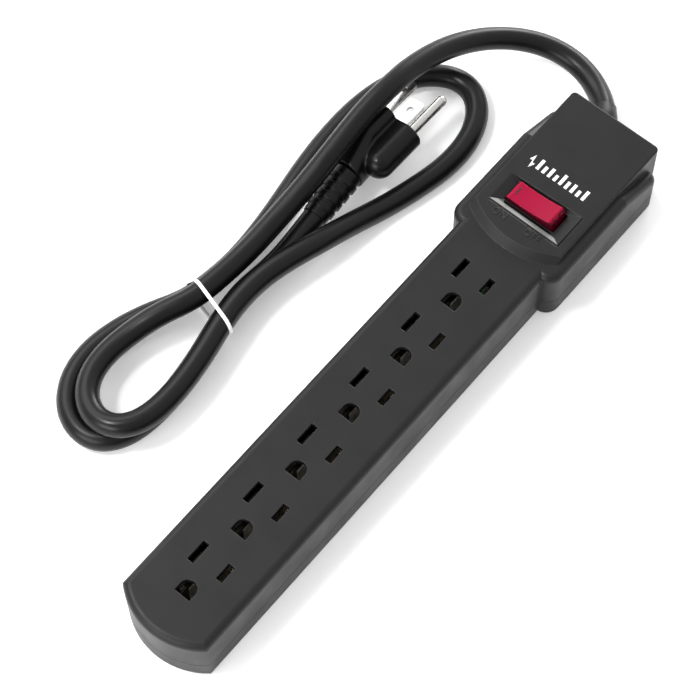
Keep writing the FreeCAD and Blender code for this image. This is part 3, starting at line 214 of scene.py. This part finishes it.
def see_through(name, colour, roughness, weight):
    """Clear or tinted plastic and glass."""
    surface = Surface(name, colour, roughness, Transmission_Weight=weight, IOR=1.49)
    surface.rough(roughness - 0.04, roughness + 0.08, 0.004)
    surface.bump(surface.noise(0.0008, 2), 0.00001)
    return surface


SURFACES = {
    "case_plastic": moulded("case_plastic", (0.0105, 0.0105, 0.011), 0.4, 0.0003, 0.000008, 0.7, 0.25,
                            pale_wear_and_highlight=0.04),
    "screw_steel": metal("screw_steel", (0.55, 0.55, 0.56), 0.32, 0.0006),
    "insulator": moulded("insulator", (0.7, 0.68, 0.62), 0.45, 0.0005, 0.00001, 0.2),
    # The brass has a dark colour: painted shade for the dark inside of the sockets, darker than bright
    # brass.
    "contact_brass": metal("contact_brass", (0.1, 0.083, 0.057), 0.3, 0.0006),
    "switch_plastic": moulded("switch_plastic", (0.012, 0.012, 0.013), 0.4, 0.0004, 0.00001, 0.3),
    "rocker_red": moulded("rocker_red", (0.275, 0.0015, 0.028), 0.34, 0.0004, 0.000006, 0.3, 0.14, 0.0003),
    "spring_steel": metal("spring_steel", (0.6, 0.6, 0.6), 0.25, 0.0004),
    "lamp_glass": see_through("lamp_glass", (0.95, 0.8, 0.7), 0.06, 1.0),
    "board": moulded("board", (0.42, 0.32, 0.13), 0.55, 0.0006, 0.00001, 0.3),
    "varistor_blue": moulded("varistor_blue", (0.04, 0.14, 0.42), 0.3, 0.0012, 0.00004, 0.3),
    "fuse_body": moulded("fuse_body", (0.78, 0.75, 0.68), 0.25, 0.0006, 0.00001, 0.2),
    "cord_jacket": moulded("cord_jacket", (0.003, 0.003, 0.0032), 0.33, 0.0006, 0.000006, 0, 0.28),
    "relief_rubber": moulded("relief_rubber", (0.004, 0.004, 0.0042), 0.45, 0.0005, 0.00001, 0.3, 0.3),
    "wire_black": moulded("wire_black", (0.015, 0.015, 0.015), 0.3, 0.0005, 0.00001, 0),
    "wire_white": moulded("wire_white", (0.8, 0.8, 0.77), 0.3, 0.0005, 0.00001, 0),
    "wire_green": moulded("wire_green", (0.02, 0.3, 0.08), 0.3, 0.0005, 0.00001, 0),
    "tie_white": moulded("tie_white", (0.86, 0.86, 0.85), 0.45, 0.0004, 0.00002, 0.1),
    "plug_plastic": moulded("plug_plastic", (0.0025, 0.0025, 0.0027), 0.33, 0.0005, 0.000008, 0.2, 0.25),
    "prong_metal": metal("prong_metal", (0.7, 0.69, 0.67), 0.22, 0.002, (1, 30, 30), 0.000002, 0),
}


def paint_light_and_shade():
    """Painted light and shade: a pale painted highlight on the front slope of the recess with a painted
    dark gap at its inner edge, a darker mottled end of the rocker painted as shade, and painted shade on
    the rocker's front side.
    """
    case = SURFACES["case_plastic"]
    slope = case.summed(case.facing("X", 0.4, 0.6), case.inside("Z", 0.0272, 0.0293), "MULTIPLY")
    # Painted shade: a black band at the inner edge of the front slope, for the dark gap beside the rocker.
    case.tint(case.summed(slope, case.inside("X", 0.0785, 0.0801), "MULTIPLY"), (0.003, 0.003, 0.003))
    # Painted highlight: the outer part of the front slope tinted pale, as it looks when lit from behind.
    case.tint(case.summed(slope, case.inside("X", 0.0763, 0.0784), "MULTIPLY"), (0.2, 0.202, 0.2))
    rocker = SURFACES["rocker_red"]
    # Painted shade: a darker mottled band at the rocker's OFF end, for its shaded ribbed end.
    shaded_nose = rocker.summed(rocker.inside("Y", -0.012, -0.0092, 0.0012),
                         rocker.mapped(rocker.noise(0.0011, 2), 0.2, 1, 0.4, 0.55), "MULTIPLY")
    rocker.tint(shaded_nose, (0.04, 0.001, 0.006))
    # Painted shade: the rocker's side facing -X made darker.
    rocker.tint(rocker.mapped(rocker.facing("X", -1.1, -0.7), 0, 0.8, 0, 1), (0.03, 0.0005, 0.004))


def finish_with(piece, slot):
    """Gives a piece the material of a slot."""
    piece.data.materials.clear()
    piece.data.materials.append(SURFACES[slot].material)


paint_light_and_shade()
for part in frame["record"]["subparts"]:
    frame["nodes"][part["node"]].material_slots[0].material = SURFACES[part["material_slot"]].material


# ---- camera, light and floor ----

CAMERA_PLACE = (-0.29815, -0.23199, 0.79415)
CAMERA_ANGLES = (-49.58, 63.48, -0.64)
CAMERA_LENS = 119.16


def place_camera():
    """A level view from above, by azimuth, elevation and roll in degrees and a lens in mm."""
    azimuth, elevation, roll = (math.radians(angle) for angle in CAMERA_ANGLES)
    data = bpy.data.cameras.new("camera")
    data.sensor_width = 36
    data.lens = CAMERA_LENS
    data.clip_start = 0.05
    camera = bpy.data.objects.new("camera", data)
    turn = (Matrix.Rotation(azimuth, 4, "Z") @ Matrix.Rotation(math.pi / 2 - elevation, 4, "X")
            @ Matrix.Rotation(roll, 4, "Z"))
    camera.matrix_world = Matrix.Translation(CAMERA_PLACE) @ turn
    bpy.context.scene.collection.objects.link(camera)
    bpy.context.scene.camera = camera


def softbox(name, place, target, size, watts):
    data = bpy.data.lights.new(name, "AREA")
    data.shape = "RECTANGLE"
    data.size, data.size_y = size
    data.energy = watts
    light = bpy.data.objects.new(name, data)
    light.location = place
    light.rotation_euler = (Vector(target) - Vector(place)).to_track_quat("-Z", "Y").to_euler()
    bpy.context.scene.collection.objects.link(light)


def sky():
    """Soft light from all round, weaker from the side that the camera is on."""
    world = bpy.data.worlds.new("studio")
    world.use_nodes = True
    tree = world.node_tree
    background = tree.nodes["Background"]
    background.inputs["Color"].default_value = (1, 1, 1, 1)
    direction = tree.nodes.new("ShaderNodeTexCoord")
    across = tree.nodes.new("ShaderNodeVectorMath")
    across.operation = "DOT_PRODUCT"
    across.inputs[1].default_value = (0.85, 0.5, 0.1)
    level = tree.nodes.new("ShaderNodeMapRange")
    for socket, value in (("From Min", -1), ("From Max", 1), ("To Min", 0.45), ("To Max", 1.15)):
        level.inputs[socket].default_value = value
    tree.links.new(direction.outputs["Generated"], across.inputs[0])
    tree.links.new(across.outputs["Value"], level.inputs["Value"])
    tree.links.new(level.outputs["Result"], background.inputs["Strength"])
    bpy.context.scene.world = world


def studio():
    softbox("key", (0.1, 1.25, 1.3), (0, 0.03, 0), (1.5, 0.9), 13)
    softbox("overhead", (-0.48, 0.47, 1.28), (0, 0.05, 0), (0.26, 0.24), 9)
    softbox("rim", (1.5, 0.5, 0.4), (0.05, 0, 0), (0.7, 0.35), 11)
    softbox("front", (-0.7, 0.05, 0.35), (-0.16, -0.01, 0), (0.5, 0.3), 2.8)
    sky()
    bpy.context.scene.view_settings.view_transform = "Standard"


FLOOR_REACH = 6.0
FLOOR_DROP = 0.0002


def floor():
    """White paper just under the part, so that its flat underside doesn't share a plane with it."""
    mesh = bpy.data.meshes.new("floor")
    corners = [(-1, -1), (1, -1), (1, 1), (-1, 1)]
    mesh.from_pydata([(FLOOR_REACH * x, FLOOR_REACH * y, -FLOOR_DROP) for x, y in corners], [],
                     [(0, 1, 2, 3)])
    plane = bpy.data.objects.new("floor", mesh)
    bpy.context.scene.collection.objects.link(plane)
    paper = Surface("paper", (0.9, 0.9, 0.9), 0.8, Specular_IOR_Level=0.2,
                    Emission_Color=(1, 1, 1, 1), Emission_Strength=0.25)
    paper.rough(0.75, 0.9, 0.05)
    mesh.materials.append(paper.material)


# ---- shapes ----

def add_piece(name, mesh, slot, body):
    piece = bpy.data.objects.new(name, mesh)
    bpy.context.scene.collection.objects.link(piece)
    finish_with(piece, slot)
    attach(piece, body)
    return piece


def smooth(mesh):
    for face in mesh.polygons:
        face.use_smooth = True


def swept(name, rings):
    """A mesh whose skin runs from ring to ring and back to the first."""
    mesh = bpy.data.meshes.new(name)
    count = len(rings[0])
    points = [point for ring in rings for point in ring]
    faces = []
    for step in range(len(rings)):
        here, there = step * count, (step + 1) % len(rings) * count
        for corner in range(count):
            after = (corner + 1) % count
            faces.append((here + corner, here + after, there + after, there + corner))
    mesh.from_pydata(points, [], faces)
    clean = bmesh.new()
    clean.from_mesh(mesh)
    bmesh.ops.recalc_face_normals(clean, faces=clean.faces)
    clean.to_mesh(mesh)
    clean.free()
    return mesh


def power_cord():
    """The jacketed cord, from the rear wall to the plug's strain relief."""
    data = bpy.data.curves.new("flex", "CURVE")
    data.dimensions = "3D"
    data.resolution_u = 6
    data.bevel_depth = CORD_RADIUS
    data.bevel_resolution = 6
    data.use_fill_caps = True
    spline = data.splines.new("NURBS")
    spline.points.add(len(CORD_ROUTE) - 1)
    for point, spot in zip(spline.points, CORD_ROUTE):
        point.co = (*spot, 1)
    spline.order_u = 3
    spline.use_endpoint_u = True
    cord = add_piece("flex", data, "cord_jacket", "strip")
    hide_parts("power_cord")
    return cord


def curve_line(curve):
    """The points that a bevelled curve's middle passes through."""
    bare = curve.copy()
    bare.bevel_depth = 0
    holder = bpy.data.objects.new("line", bare)
    mesh = bpy.data.meshes.new_from_object(holder)
    points = [vertex.co.copy() for vertex in mesh.vertices]
    bpy.data.objects.remove(holder)
    bpy.data.curves.remove(bare)
    bpy.data.meshes.remove(mesh)
    return points


# ---- tie ----

TIE_MIDDLE = Vector((-0.0214, 0.0722, 0))
TIE_TURN = math.radians(-14.5)
TIE_HALF_WIDTH = 0.00075
TIE_HALF_THICK = 0.00025
TIE_REACH = 0.025
TIE_CLEARANCE = 0.0001
TIE_SPACING = 0.0006
TIE_CORNERS = 16


def tie_crossings(line):
    """Where the cord's runs cross the tie's plane: across the hank and up."""
    away = Matrix.Rotation(-TIE_TURN, 4, "Z") @ Matrix.Translation(-TIE_MIDDLE)
    found = []
    spots = [away @ point for point in line]
    for here, after in zip(spots, spots[1:]):
        if here.x * after.x < 0 and abs(here.y) < TIE_REACH:
            run = after - here
            spot = here + run * (here.x / (here.x - after.x))
            slant = CORD_RADIUS * (run.length / abs(run.x) - 1)
            found.append(Vector((spot.y + math.copysign(slant, spot.y), spot.z)))
    return found


def hull_loop(centres, radius, spacing):
    """Evenly spaced points on the taut loop round circles of one radius, with outward directions."""
    middle = sum(centres, Vector((0, 0))) / len(centres)
    ring = sorted(centres, key=lambda spot: math.atan2(spot.y - middle.y, spot.x - middle.x))
    corners = []
    for index, here in enumerate(ring):
        before, after = ring[index - 1], ring[(index + 1) % len(ring)]
        first = (here - before).orthogonal() * -1
        second = (after - here).orthogonal() * -1
        start = math.atan2(first.y, first.x)
        sweep = (math.atan2(second.y, second.x) - start) % math.tau
        if sweep > math.pi:
            continue
        corners.append((here, start, sweep))
    loop = []
    for index, (here, start, sweep) in enumerate(corners):
        steps = max(2, round(sweep * radius / spacing))
        for step in range(steps + 1):
            angle = start + sweep * step / steps
            out = Vector((math.cos(angle), math.sin(angle)))
            loop.append((here + out * radius, out))
        there, turn, _ = corners[(index + 1) % len(corners)]
        arrive = there + Vector((math.cos(turn), math.sin(turn))) * radius
        leave = loop[-1][0]
        steps = max(1, round((arrive - leave).length / spacing))
        for step in range(1, steps):
            loop.append((leave.lerp(arrive, step / steps), loop[-1][1]))
    return loop


def tie_band(line):
    """A thin plastic band, slightly rounded across, drawn round the hank's runs."""
    centres = tie_crossings(line)
    place = Matrix.Translation(TIE_MIDDLE) @ Matrix.Rotation(TIE_TURN, 4, "Z")
    rings = []
    for spot, out in hull_loop(centres, CORD_RADIUS + TIE_HALF_THICK + TIE_CLEARANCE, TIE_SPACING):
        ring = []
        for corner in range(TIE_CORNERS):
            angle = math.tau * corner / TIE_CORNERS
            across, up = math.cos(angle), math.sin(angle)
            side = math.copysign(abs(across) ** 0.6, across) * TIE_HALF_WIDTH
            lift = math.copysign(abs(up) ** 0.8, up) * TIE_HALF_THICK
            flat = spot + out * lift
            ring.append(place @ Vector((side, flat.x, flat.y)))
        rings.append(ring)
    mesh = swept("band", rings)
    smooth(mesh)
    band = add_piece("band", mesh, "tie_white", "strip")
    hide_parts("cord_tie")
    return band


# ---- plug ----

PLUG_VOXEL = 0.00045
PLUG_PASSES = 6


def moulded_plug():
    """The plug's body with its edges run together, as soft vinyl is moulded."""
    source = frame["nodes"]["plug_body"]
    mesh = source.data.copy()
    piece = bpy.data.objects.new("plug_moulding", mesh)
    bpy.context.scene.collection.objects.link(piece)
    remesh = piece.modifiers.new("even", "REMESH")
    remesh.mode = "VOXEL"
    remesh.voxel_size = PLUG_VOXEL
    soften = piece.modifiers.new("soft", "SMOOTH")
    soften.factor = 0.5
    soften.iterations = PLUG_PASSES
    solid = bpy.data.meshes.new_from_object(piece.evaluated_get(bpy.context.evaluated_depsgraph_get()))
    bpy.data.objects.remove(piece)
    bpy.data.meshes.remove(mesh)
    smooth(solid)
    shell = add_piece("plug_moulding", solid, "plug_plastic", "strip")
    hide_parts("plug_body")
    return shell


# ---- raised and printed marks ----

def lettering(name, words, size, depth, place, slot, body):
    """Raised sans-serif words: their foot points towards -X, and they read towards -Y."""
    data = bpy.data.curves.new(name, "FONT")
    data.body = words
    data.size = size
    data.extrude = depth
    data.bevel_depth = 0.00006
    data.resolution_u = 3
    data.align_x = "CENTER"
    data.align_y = "CENTER"
    holder = bpy.data.objects.new(name, data)
    mesh = bpy.data.meshes.new_from_object(holder)
    bpy.data.objects.remove(holder)
    mesh.transform(Matrix.Translation(place) @ Matrix.Rotation(-math.pi / 2, 4, "Z"))
    add_piece(name, mesh, slot, body)


def flat_shape(name, outlines, base, thick, slot, body):
    """Thin flat prisms from outlines in X and Y."""
    mesh = bpy.data.meshes.new(name)
    made = bmesh.new()
    for outline in outlines:
        corners = [made.verts.new((x, y, base)) for x, y in outline]
        face = made.faces.new(corners)
        lifted = bmesh.ops.extrude_face_region(made, geom=[face])
        moved = [item for item in lifted["geom"] if isinstance(item, bmesh.types.BMVert)]
        bmesh.ops.translate(made, verts=moved, vec=(0, 0, thick))
    bmesh.ops.recalc_face_normals(made, faces=made.faces)
    made.to_mesh(mesh)
    made.free()
    return add_piece(name, mesh, slot, body)


HOOD_TOP = 0.0293
ROCKER_PIVOT = Vector((0.0852, 0.0005, 0.0225))
ROCKER_TILT = math.radians(-5)
ON_MARK = (0.0855, 0.00885, 0.00764)
WORD_X, WORD_SIZE, WORD_DEPTH = 0.0733, 0.0042, 0.0001

# The printed mark: where it starts, its ink, and in millimetres the bolt's outline and the bars'
# heights.
PRINT_PLACE = (0.0995, 0.0135)
INK_SUNK, INK_THICK = 0.00002, 0.00007
BOLT = ((3.4, 0.2), (0.4, 1.5), (0.4, 0.3), (-3.2, -0.2), (-0.4, -1.5), (-0.4, -0.3))
BARS = (5.0, 3.4, 4.4, 3.0, 5.2, 3.6, 4.2, 3.0, 4.8)
BAR_FIRST, BAR_PITCH, BAR_HALF, BAR_FOOT = 0.0034, 0.0027, 0.0007, 0.0018

# The stroke on the rocker: half its length, its half width, and the rounding of the rocker's face.
STROKE_HALF, STROKE_RADIUS, ROCKER_ROUNDING = 0.0017, 0.00028, 0.055


def printed_mark():
    """A small bolt and a row of bars, printed in white ink on the hood."""
    x, y = PRINT_PLACE
    outlines = [[(x + along / 1000, y + across / 1000) for along, across in BOLT]]
    for number, height in enumerate(BARS):
        middle = y - BAR_FIRST - BAR_PITCH * number
        foot, head = x - BAR_FOOT, x - BAR_FOOT + height / 1000
        outlines.append([(foot, middle + BAR_HALF), (foot, middle - BAR_HALF), (head, middle - BAR_HALF),
                         (head, middle + BAR_HALF)])
    flat_shape("printed_mark", outlines, HOOD_TOP - INK_SUNK, INK_THICK, "tie_white", "strip")


def rocker_mark():
    """The stroke engraved at the rocker's ON end, filled dark."""
    x, y, high = ON_MARK
    stroke = []
    for end in (-1, 1):
        for step in range(7):
            angle = math.pi * (step / 6 - 0.5)
            stroke.append((x + end * (STROKE_HALF + STROKE_RADIUS * math.cos(angle)),
                           y + end * STROKE_RADIUS * math.sin(angle)))
    mark = flat_shape("on_mark", [stroke], 0, 0.00005, "switch_plastic", "rocker")
    lift = Matrix.Translation((0, 0, ROCKER_PIVOT.z + high - 0.00001))
    turn = (Matrix.Translation(ROCKER_PIVOT) @ Matrix.Rotation(ROCKER_TILT, 4, "X")
            @ Matrix.Translation(-ROCKER_PIVOT))
    lean = math.asin((y - ROCKER_PIVOT.y) / ROCKER_ROUNDING)
    slope = Matrix.Translation((0, y, 0)) @ Matrix.Rotation(lean, 4, "X")
    mark.data.transform(turn @ lift @ slope @ Matrix.Translation((0, -y, 0)))


place_camera()
cord = power_cord()
band = tie_band(curve_line(cord.data))
shell = moulded_plug()
for name, words, y in (("on_word", "ON", 0.009), ("off_word", "OFF", -0.0065)):
    lettering(name, words, WORD_SIZE, WORD_DEPTH, (WORD_X, y, HOOD_TOP + WORD_DEPTH / 2),
              "case_plastic", "strip")
printed_mark()
rocker_mark()
studio()
floor()
